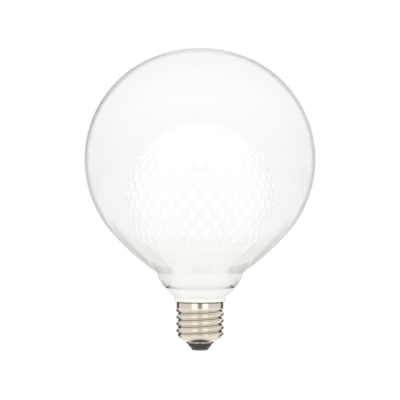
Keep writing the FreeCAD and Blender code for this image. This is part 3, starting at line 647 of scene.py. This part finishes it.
class BULB_OT_inner_diffuser(bpy.types.Operator):
    """Turn the opal bulb, raise the quilting on it and give it its wall"""

    bl_idname = "globe_bulb.inner_diffuser"
    bl_label = "Opal diffuser"

    def execute(self, context):
        sizes = settings().diffuser
        lip = settings().globe.lip_height
        cone = sizes.cone
        peak = sizes.diameter / 2
        radius = peak - sizes.relief
        ball = lip + sizes.neck_height + (peak - sizes.neck_radius * math.cos(cone)) / math.sin(cone)
        bend = ball - (radius - sizes.neck_radius * math.cos(cone)) / math.sin(cone)
        fillet_foot = bend - sizes.neck_fillet * math.tan((math.pi / 2 - cone) / 2)
        face_turn = (sizes.top - sizes.bottom) / sizes.rows / ROW_FACES
        cone_top = radius * facing(cone) + Vector((0.0, 0.0, ball))
        outline = Outline(sizes.neck_radius, lip)
        outline.line(sizes.neck_radius, fillet_foot, step=2 * MM)
        outline.arc(sizes.neck_radius + sizes.neck_fillet, fillet_foot, cone - math.pi / 2, step=1.2 * MM)
        outline.line(cone_top.x, cone_top.z, step=1.6 * MM)
        outline.arc(0.0, ball, cone + math.pi / 2, step=radius * face_turn)
        mesh = outline.turned(parts=sizes.columns * COLUMN_FACES)
        middle = Vector((0.0, 0.0, ball))
        raise_quilting(mesh, sizes, middle)
        thicken(mesh, sizes.wall, middle)
        new_piece("inner_diffuser_opal", mesh, moulded_opal_glass(), "opal_glass", "inner_diffuser")
        return {"FINISHED"}


def pyramid(first, second):
    """Height, 0 to 1, of a diamond with four flat faces whose valleys lie on whole numbers."""
    return 2.0 * min(abs(first - round(first)), abs(second - round(second)))


def raise_quilting(mesh, sizes, middle):
    """Raise staggered diamonds, each a low pyramid, out of the ball, and keep their height on the mesh."""
    span = (sizes.top - sizes.bottom) / sizes.rows
    height = mesh.verts.layers.float.new(QUILTING)
    for vert in mesh.verts:
        vert[height] = 1.0
        across = math.hypot(vert.co.x, vert.co.y)
        latitude = math.atan2(vert.co.z - middle.z, across)
        up = (latitude - sizes.bottom) / span
        if across < MM or not -1.0 < up < sizes.rows + 1.0:
            continue
        turn = math.atan2(vert.co.y, vert.co.x) / math.tau * sizes.columns
        cushion = pyramid(turn + up / 2, turn - up / 2)
        fade = smooth_step(0.0, 1.0, up) * smooth_step(sizes.rows, sizes.rows - 1.0, up)
        vert[height] = 1.0 - fade * (1.0 - cushion)
        away = (vert.co - middle).normalized()
        vert.co += away * fade * sizes.relief * cushion


class BULB_OT_collar(bpy.types.Operator):
    """Turn the white collar with its flare, ledge, spigot and stub"""

    bl_idname = "globe_bulb.collar"
    bl_label = "Collar"

    def execute(self, context):
        sizes = settings().collar
        ring_turn = sizes.ring_radius - sizes.ring_round
        outline = Outline(sizes.stub_radius, sizes.stub_foot)
        outline.lines(
            (sizes.stub_radius, sizes.step),
            (sizes.fit_radius, sizes.step),
            (sizes.fit_radius, sizes.foot),
            (ring_turn, sizes.foot),
        )
        outline.arc(ring_turn, sizes.foot + sizes.ring_round, math.pi / 2, step=0.25 * MM)
        outline.lines(
            (sizes.ring_radius, sizes.ring_top - sizes.line),
            (sizes.ring_radius - sizes.line, sizes.ring_top - sizes.line),
            (sizes.ring_radius - sizes.line, sizes.ring_top),
            (sizes.ring_radius + sizes.line, sizes.ring_top + sizes.line),
            (sizes.radius, sizes.ledge - sizes.edge),
            (sizes.radius, sizes.ledge),
            (sizes.spigot_radius, sizes.ledge),
            (sizes.spigot_radius, sizes.spigot_top),
            (sizes.spigot_bore, sizes.spigot_top),
            (sizes.spigot_bore, sizes.throat),
            (sizes.bore, sizes.throat - (sizes.spigot_bore - sizes.bore)),
            (sizes.bore, sizes.floor),
            (sizes.mouth, sizes.floor),
            (sizes.mouth, sizes.stub_foot),
        )
        outline.close()
        mesh = outline.turned(parts=128)
        corners = [
            edge
            for edge in mesh.edges
            if len(edge.link_faces) == 2
            and edge.calc_face_angle() > math.radians(30.0)
            and abs(edge.verts[0].co.z - edge.verts[1].co.z) < SAME
            and edge.verts[0].co.z > sizes.foot + MM
        ]
        round_edges(mesh, corners, sizes.edge_round, segments=3)
        # Polycarbonate blend, moulded satin: a milky white with a fine even grain and soft edges
        white = settings().finish.white_moulding
        plastic = mottled(
            "Polycarbonate, moulded satin white",
            light=white,
            dark=dimmed(white, 0.97),
            roughness=(0.38, 0.5),
            grain_mm=0.8,
            **{"Subsurface Weight": 0.08, "Subsurface Scale": 1.0 * MM, "IOR": 1.58},
        )
        new_piece("collar_moulding", mesh, plastic, "white_moulding", "collar", sharp=60.0)
        return {"FINISHED"}


class BULB_OT_screw_shell(bpy.types.Operator):
    """Turn the sheet of the cap, roll its round thread and give the sheet its thickness"""

    bl_idname = "globe_bulb.screw_shell"
    bl_label = "Screw shell"

    def execute(self, context):
        sizes = settings().cap
        crest = sizes.thread_radius - sizes.thread_land
        lip_top = sizes.mouth_height + sizes.mouth_lip
        fine = 0.1 * MM
        outline = Outline(sizes.mouth_radius, sizes.mouth_height)
        outline.line(sizes.mouth_radius, lip_top, fine)
        # The coned end is a shallow arc over the chord from the lip to the crest
        chord = Vector((crest - sizes.mouth_radius, 0.0, sizes.cone_height))
        half_turn = math.asin(chord.length / 2 / sizes.cone_bulge)
        inward = Vector((-chord.z, 0.0, chord.x)).normalized()
        centre = outline.tip.co + chord / 2 + inward * sizes.cone_bulge * math.cos(half_turn)
        outline.arc(centre.x, centre.z, 2 * half_turn, fine)
        outline.line(crest, sizes.skirt_foot - sizes.skirt_slope / 2, fine)
        outline.line(sizes.skirt_radius, sizes.skirt_foot + sizes.skirt_slope / 2, fine)
        outline.line(sizes.skirt_radius, sizes.rim, step=0.4 * MM)
        mesh = outline.turned(parts=128)
        roll_thread(mesh, sizes)
        bmesh.ops.smooth_vert(
            mesh,
            verts=[vert for vert in mesh.verts if lip_top - MM < vert.co.z < sizes.skirt_foot + MM],
            factor=0.5,
            use_axis_x=True,
            use_axis_y=True,
            use_axis_z=False,
        )
        thicken(mesh, sizes.sheet, Vector((0.0, 0.0, (sizes.mouth_height + sizes.rim) / 2)))
        nickel = rolled_nickel(sizes, settings().finish)
        new_piece("screw_shell_sheet", mesh, nickel, "nickel_plate", "screw_shell", sharp=50.0)
        return {"FINISHED"}


def thread_drop(offset, sizes):
    """How far a round thread lies below its crest, offset along the axis from the middle of the groove."""
    pitch, depth = sizes.thread_pitch, sizes.thread_depth
    rounding = (depth**2 + pitch**2 / 4) / (4 * depth)
    if abs(offset) < pitch / 4:
        return depth - rounding + math.sqrt(rounding**2 - offset**2)
    return rounding - math.sqrt(rounding**2 - (pitch / 2 - abs(offset)) ** 2)


def roll_thread(mesh, sizes):
    """Press the round right-hand groove into the turned sheet, running out at the skirt."""
    # Heights between which the soft run-in on the coned end gives way to the full thread
    cone_end, thread_begin = 8.0 * MM, 9.5 * MM
    # Turns between which the groove runs out
    full, gone = sizes.thread_turns - 0.25, sizes.thread_turns + 0.1
    for vert in mesh.verts:
        radius = math.hypot(vert.co.x, vert.co.y)
        straight = smooth_step(cone_end, thread_begin, vert.co.z)
        soft = sizes.cone_soft + (sizes.thread_soft - sizes.cone_soft) * straight
        turn = math.atan2(vert.co.y, vert.co.x) % math.tau / math.tau
        along = (vert.co.z - sizes.thread_start) / sizes.thread_pitch
        nearest = round(along - turn) + turn
        drop = thread_drop((along - nearest) * sizes.thread_pitch, sizes)
        thread = sizes.thread_radius - smooth_step(gone, full, nearest) * drop
        pressed = smooth_least(radius, thread, soft)
        vert.co.x *= pressed / radius
        vert.co.y *= pressed / radius


class BULB_OT_cap_insulator(bpy.types.Operator):
    """Turn the black insulator of the cap"""

    bl_idname = "globe_bulb.cap_insulator"
    bl_label = "Cap insulator"

    def execute(self, context):
        sizes = settings().cap
        # The flange lies along the straight cone
        steepness = sizes.cone_height / (sizes.thread_radius - sizes.thread_land - sizes.mouth_radius)
        rise = steepness * (sizes.insulator_flange - sizes.insulator_waist)
        outline = Outline(sizes.insulator_hole, sizes.contact_height)
        outline.lines(
            (sizes.insulator_tip, sizes.contact_height),
            (sizes.insulator_waist, sizes.mouth_height),
            (sizes.insulator_waist, sizes.insulator_seat),
            (sizes.insulator_flange, sizes.insulator_seat + rise),
            (sizes.insulator_flange, sizes.insulator_top),
            (sizes.insulator_hole, sizes.insulator_top),
        )
        outline.close()
        mesh = outline.turned(parts=96)
        tip = [
            edge
            for edge in mesh.edges
            if all(abs(math.hypot(*vert.co.xy) - sizes.insulator_tip) < SAME for vert in edge.verts)
        ]
        round_edges(mesh, tip, sizes.insulator_round, segments=4)
        # Phenolic, moulded dark: nearly black with a dull sheen
        black = settings().finish.insulator
        phenolic = mottled(
            "Phenolic, moulded black",
            light=black,
            dark=dimmed(black, 0.7),
            roughness=(0.3, 0.45),
            grain_mm=0.7,
        )
        new_piece("cap_insulator_moulding", mesh, phenolic, "black_moulding", "cap_insulator", sharp=50.0)
        return {"FINISHED"}


class BULB_OT_centre_contact(bpy.types.Operator):
    """Turn the contact button with its stem"""

    bl_idname = "globe_bulb.centre_contact"
    bl_label = "Centre contact"

    def execute(self, context):
        sizes = settings().cap
        flat = sizes.contact_radius - sizes.contact_round
        outline = Outline(0.0, 0.0)
        outline.line(flat, 0.0, step=0.8 * MM)
        outline.arc(flat, sizes.contact_round, math.pi / 2, step=0.12 * MM)
        outline.lines(
            (sizes.contact_radius, sizes.contact_height),
            (sizes.stem_radius, sizes.contact_height),
            (sizes.stem_radius, sizes.stem_top),
            (sizes.stem_bore, sizes.stem_top),
            (sizes.stem_bore, sizes.stem_floor),
            (0.0, sizes.stem_floor),
        )
        mesh = outline.turned(parts=64)
        # Brass, stamped and tinned: a dull yellow grey with soft scuffs, darkened with painted shade
        shaded_yellow_grey = settings().finish.contact
        brass = mottled(
            "Brass, stamped and tinned",
            light=shaded_yellow_grey,
            dark=dimmed(shaded_yellow_grey, 0.75),
            roughness=(0.25, 0.45),
            grain_mm=1.2,
            metallic=1.0,
        )
        new_piece("centre_contact_button", mesh, brass, "contact_brass", "centre_contact", sharp=50.0)
        return {"FINISHED"}


SEALS = ["globe_seal", "diffuser_seal"]
CHIP_PACKAGES = ["bridge_rectifier", "driver_chip"]
LEADS = ["live_lead", "neutral_lead", "led_leads"]

# Material, light and dark tone, roughness from and to, grain in mm, metallic, and the nodes that have it
INNER_FINISHES = (
    # Silicone, set where it was laid: a matt white bead
    ("Silicone, set white bead", 0xE9E8E3, 0xDDDCD6, (0.5, 0.65), 1.5, 0.0, SEALS),
    # Aluminium, pressed from sheet: pale, with a soft sheen
    ("Aluminium, pressed sheet", 0xD2D4D6, 0xB8BABD, (0.28, 0.42), 1.5, 1.0, ["heat_spreader"]),
    # Solder mask on an aluminium core: a smooth white lacquer
    ("Solder mask, white lacquer", 0xF0F1EE, 0xE4E5E1, (0.3, 0.4), 1.0, 0.0, ["led_board"]),
    # Phosphor gel, cured in its frame: a warm yellow, slightly cloudy
    ("Phosphor gel, cured", 0xE9C765, 0xDDB548, (0.25, 0.35), 0.6, 0.0, ["led_chips"]),
    # Steel, zinc plated: small bright screws
    ("Steel, zinc plated", 0xC4C5C3, 0xA9AAA9, (0.2, 0.35), 0.5, 1.0, ["board_screws"]),
    # Glass epoxy under lacquer: a mottled green with some gloss
    ("Glass epoxy, green lacquer", 0x2F6B43, 0x275C39, (0.3, 0.4), 0.6, 0.0, ["driver_board"]),
    # Sleeve, shrunk on the capacitor: dark and slick
    ("Shrink sleeve, dark", 0x22252C, 0x191B21, (0.2, 0.3), 1.0, 0.0, ["smoothing_capacitor"]),
    # Epoxy, moulded round the chips: a matt black
    ("Epoxy, moulded matt black", 0x262626, 0x1B1B1B, (0.5, 0.65), 0.3, 0.0, CHIP_PACKAGES),
    # Lacquer, dipped on the resistor: a smooth blue-green
    ("Lacquer, dipped blue-green", 0x5B8790, 0x4C757E, (0.25, 0.35), 0.8, 0.0, ["fuse_resistor"]),
    # Copper wire, enamelled and wound on ferrite: a dark glossy brown
    ("Copper wire, enamelled", 0x8A4A26, 0x5E2F17, (0.25, 0.4), 0.4, 0.6, ["inductor"]),
    # Copper wire, tinned: a pale grey metal
    ("Copper wire, tinned", 0xBDBAB4, 0xA19E98, (0.25, 0.4), 0.5, 1.0, LEADS),
)


class BULB_OT_inner_works(bpy.types.Operator):
    """Give the seals and the pieces inside the diffuser and cap their finishes"""

    bl_idname = "globe_bulb.inner_works"
    bl_label = "Inner works"

    def execute(self, context):
        for name, light, dark, roughness, grain_mm, metallic, nodes in INNER_FINISHES:
            material = mottled(name, linear(light), linear(dark), roughness, grain_mm, metallic)
            for node in nodes:
                slots = frame["nodes"][node].data.materials
                slots.clear()
                slots.append(material)
        return {"FINISHED"}


def softbox(name, azimuth, elevation, width, height, brightness, mirrored=False):
    """A soft lamp that looks at the bulb's middle, placed by angles in degrees and sized in metres.

    A mirrored one shows in the gloss and lights nothing else, and any other lights without being seen.
    """
    azimuth, elevation = math.radians(azimuth), math.radians(elevation)
    lamp = bpy.data.lights.new(name, "AREA")
    lamp.shape = "RECTANGLE"
    lamp.size, lamp.size_y = width, height
    lamp.energy = brightness * math.pi * width * height
    thing = bpy.data.objects.new(name, lamp)
    bpy.context.scene.collection.objects.link(thing)
    away = Vector(
        (
            math.sin(azimuth) * math.cos(elevation),
            -math.cos(azimuth) * math.cos(elevation),
            math.sin(elevation),
        )
    )
    thing.location = LAMP_AIM + LAMP_DISTANCE * away
    thing.rotation_mode = "QUATERNION"
    thing.rotation_quaternion = away.to_track_quat("Z", "Y")
    thing.visible_camera = False
    thing.visible_diffuse = not mirrored
    thing.visible_glossy = mirrored
    thing.visible_transmission = False


def stage_object(name, mesh, material):
    """A piece of the studio, which isn't part of the bulb."""
    data = bpy.data.meshes.new(name)
    mesh.to_mesh(data)
    mesh.free()
    data.materials.append(material)
    thing = bpy.data.objects.new(name, data)
    bpy.context.scene.collection.objects.link(thing)
    return thing


def reflected_only(name, mesh, material):
    """A piece of the studio that shows in reflections and nowhere else."""
    thing = stage_object(name, mesh, material)
    thing.visible_camera = False
    thing.visible_diffuse = False
    thing.visible_transmission = False
    thing.visible_volume_scatter = False
    thing.visible_shadow = False


def fading_cloth(name, shade, centre, scale, near, far):
    """Studio cloth that fades from its hex shade to white with the scaled distance from a centre."""
    material, tree, place = new_material(name)
    away = add(tree, "VectorMath", {0: place, 1: centre}, operation="SUBTRACT")
    scaled = add(tree, "VectorMath", {0: away.outputs["Vector"], 1: scale}, operation="MULTIPLY")
    reach = add(tree, "VectorMath", {0: scaled.outputs["Vector"]}, operation="LENGTH")
    fade = add(
        tree,
        "MapRange",
        {"Value": reach.outputs["Value"], "From Min": near, "From Max": far},
        interpolation_type="SMOOTHSTEP",
    )
    tone = add(
        tree,
        "Mix",
        {"Factor": fade.outputs["Result"], "A": opaque(linear(shade)), "B": opaque(WHITE)},
        data_type="RGBA",
    )
    glow = add(tree, "Emission", {"Color": tone.outputs["Result"], "Strength": 1.0})
    add(tree, "OutputMaterial", {"Surface": glow.outputs["Emission"]})
    return material


def flag(name, start, end, radius, low, high, shade, fade=0.1):
    """A curved cloth screen between two azimuths in degrees, that fades to white at its upper edge."""
    start, end = math.radians(start), math.radians(end)
    mesh = bmesh.new()
    foot = mesh.verts.new((0.0, -radius, low))
    head = mesh.verts.new((0.0, -radius, high))
    edge = mesh.edges.new((foot, head))
    bmesh.ops.rotate(mesh, verts=mesh.verts, cent=(0, 0, 0), matrix=Matrix.Rotation(start, 3, "Z"))
    bmesh.ops.spin(
        mesh, geom=[foot, head, edge], cent=(0, 0, 0), axis=(0, 0, 1), angle=end - start, steps=24
    )
    tall = high - low
    upright = (0.0, 0.0, 1.0)
    cloth = fading_cloth(f"{name} cloth", shade, (0.0, 0.0, low), upright, near=tall - fade, far=tall)
    reflected_only(name, mesh, cloth)


def patch(name, middle, half_size, shade):
    """An oval cloth that lies level and fades to white at its edge."""
    mesh = bmesh.new()
    bmesh.ops.create_circle(mesh, cap_ends=True, segments=64, radius=1.0)
    bmesh.ops.scale(mesh, verts=mesh.verts, vec=(*half_size, 1.0))
    bmesh.ops.translate(mesh, verts=mesh.verts, vec=middle)
    level = (1.0 / half_size[0], 1.0 / half_size[1], 0.0)
    cloth = fading_cloth(f"{name} cloth", shade, middle, level, near=0.45, far=1.0)
    reflected_only(name, mesh, cloth)


class BULB_OT_stage(bpy.types.Operator):
    """Set up the white studio: world, floor, lamps, screens and camera"""

    bl_idname = "globe_bulb.stage"
    bl_label = "Stage"

    def execute(self, context):
        scene = context.scene
        stage = settings().stage
        scene.view_settings.view_transform = "Standard"
        self.light_world(scene, stage)
        self.lay_floor(stage)
        self.hang_lamps(stage)
        self.set_cloths(stage)
        self.place_camera(scene, stage)
        return {"FINISHED"}

    def light_world(self, scene, stage):
        """White to the eye and in gloss and glass, and less than that as light on the bulb."""
        world = bpy.data.worlds.new("White studio")
        scene.world = world
        world.use_nodes = True
        tree = world.node_tree
        tree.nodes.clear()
        path = add(tree, "LightPath")
        direct = add(
            tree,
            "Math",
            {0: path.outputs["Is Camera Ray"], 1: path.outputs["Is Glossy Ray"]},
            operation="MAXIMUM",
        )
        seen = add(
            tree,
            "Math",
            {0: direct.outputs["Value"], 1: path.outputs["Is Transmission Ray"]},
            operation="MAXIMUM",
        )
        glow = add(tree, "MapRange", {"Value": seen.outputs["Value"], "To Min": stage.ambient})
        sky = add(tree, "Background", {"Color": opaque(WHITE), "Strength": glow.outputs["Result"]})
        add(tree, "OutputWorld", {"Surface": sky.outputs["Background"]})

    def lay_floor(self, stage):
        """White paper that keeps the bulb's shadow and turns to plain white further out."""
        shadow_reach, white_from, edge = 0.45, 0.8, 0.95
        material, tree, place = new_material("Studio floor, white paper")
        path = add(tree, "LightPath")
        far = add(tree, "VectorMath", {0: place}, operation="LENGTH")
        fade = add(
            tree,
            "MapRange",
            {"Value": far.outputs["Value"], "From Min": shadow_reach, "From Max": white_from},
            interpolation_type="SMOOTHSTEP",
        )
        seen = add(
            tree,
            "Math",
            {0: path.outputs["Is Camera Ray"], 1: path.outputs["Is Transmission Ray"]},
            operation="MAXIMUM",
        )
        seen_far = add(
            tree, "Math", {0: fade.outputs["Result"], 1: seen.outputs["Value"]}, operation="MULTIPLY"
        )
        plain = add(
            tree,
            "Math",
            {0: seen_far.outputs["Value"], 1: path.outputs["Is Glossy Ray"]},
            operation="MAXIMUM",
        )
        paper = add(tree, "BsdfDiffuse", {"Color": opaque(settings().finish.paper)})
        white = add(tree, "Emission", {"Color": opaque(WHITE), "Strength": 1.0})
        blend = add(
            tree,
            "MixShader",
            {0: plain.outputs["Value"], 1: paper.outputs["BSDF"], 2: white.outputs["Emission"]},
        )
        add(tree, "OutputMaterial", {"Surface": blend.outputs["Shader"]})
        mesh = bmesh.new()
        bmesh.ops.create_circle(mesh, cap_ends=True, segments=96, radius=edge)
        bmesh.ops.translate(mesh, verts=mesh.verts, vec=(0.0, 0.0, stage.floor))
        stage_object("studio_floor", mesh, material)

    def hang_lamps(self, stage):
        """Two softboxes for the gloss, and fills at the sides, in front, behind and overhead."""
        for name, side in (("left", -1), ("right", 1)):
            softbox(
                f"{name}_softbox",
                azimuth=27 * side,
                elevation=5,
                width=0.62,
                height=0.7,
                brightness=stage.mirrored,
                mirrored=True,
            )
            softbox(
                f"{name}_fill", azimuth=80 * side, elevation=20, width=0.8, height=1.2, brightness=stage.side
            )
        softbox("front_fill", azimuth=0, elevation=-4, width=1.2, height=0.5, brightness=stage.front)
        softbox("back_fill", azimuth=180, elevation=25, width=1.2, height=0.9, brightness=stage.back)
        softbox("top_softbox", azimuth=0, elevation=72, width=1.2, height=1.0, brightness=stage.top)

    def set_cloths(self, stage):
        """Grey and dark cloths that draw the edges of glass and metal."""
        for name, side, shade in (("left", -1, 0xDDDBD8), ("right", 1, 0xE5E3E1)):
            flag(
                f"{name}_rear_flag",
                start=149 * side,
                end=173 * side,
                radius=1.5,
                low=-0.27,
                high=0.95,
                shade=shade,
            )
            flag(
                f"{name}_side_flag",
                start=41 * side,
                end=146 * side,
                radius=1.6,
                low=-0.27,
                high=0.1,
                shade=0xECECEB,
            )
            # Close beside the cap, so that it darkens the thread's sides and doesn't show on the globe
            flag(
                f"{name}_cap_flag",
                start=109 * side,
                end=142 * side,
                radius=0.045,
                low=-0.02,
                high=0.03,
                shade=0x696965,
                fade=0.006,
            )
        flag("front_flag", start=-8.5, end=8.5, radius=1.1, low=-0.16, high=0.09, shade=0xA09E9B)
        # Just above the floor, below the bulb and behind it
        height = stage.floor + 5 * MM
        # A dark oval just above the floor below the bulb, seen only in reflections
        patch("dark_floor_patch", (0.0, 0.25, height), half_size=(0.12, 0.25), shade=0x3F3F3F)
        patch("left_rear_patch", (-0.36, 0.66, height), half_size=(0.28, 0.3), shade=0xBCBCB8)
        patch("right_rear_patch", (0.36, 0.66, height), half_size=(0.28, 0.3), shade=0xC2C2BF)

    def place_camera(self, scene, stage):
        """A level view from -Y, at about half the bulb's height."""
        data = bpy.data.cameras.new("camera")
        data.sensor_width = 36.0
        data.lens = data.sensor_width * stage.distance / stage.frame
        data.clip_start, data.clip_end = 0.05, 20.0
        camera = bpy.data.objects.new("camera", data)
        camera.location = (0.0, -stage.distance, stage.eye)
        camera.rotation_euler = (math.pi / 2, 0.0, 0.0)
        scene.collection.objects.link(camera)
        scene.camera = camera


OPERATORS = (
    BULB_OT_outer_globe,
    BULB_OT_inner_diffuser,
    BULB_OT_collar,
    BULB_OT_screw_shell,
    BULB_OT_cap_insulator,
    BULB_OT_centre_contact,
    BULB_OT_inner_works,
    BULB_OT_stage,
)


class BULB_PT_sidebar(bpy.types.Panel):
    """Lists the operators that build the bulb"""

    bl_idname = "BULB_PT_sidebar"
    bl_label = "Globe bulb"
    bl_space_type = "VIEW_3D"
    bl_region_type = "UI"
    bl_category = "Globe bulb"

    def draw(self, context):
        for operator in OPERATORS:
            self.layout.operator(operator.bl_idname)


CLASSES = (
    GlobeSizes,
    DiffuserSizes,
    CollarSizes,
    CapSizes,
    Finishes,
    StageSettings,
    GlobeBulbSettings,
    *OPERATORS,
    BULB_PT_sidebar,
)


def register():
    for cls in CLASSES:
        bpy.utils.register_class(cls)
    bpy.types.Scene.globe_bulb = PointerProperty(type=GlobeBulbSettings)


def unregister():
    del bpy.types.Scene.globe_bulb
    for cls in reversed(CLASSES):
        bpy.utils.unregister_class(cls)


def main():
    register()
    for operator in OPERATORS:
        group, name = operator.bl_idname.split(".")
        getattr(getattr(bpy.ops, group), name)()


if __name__ == "__main__":
    main()
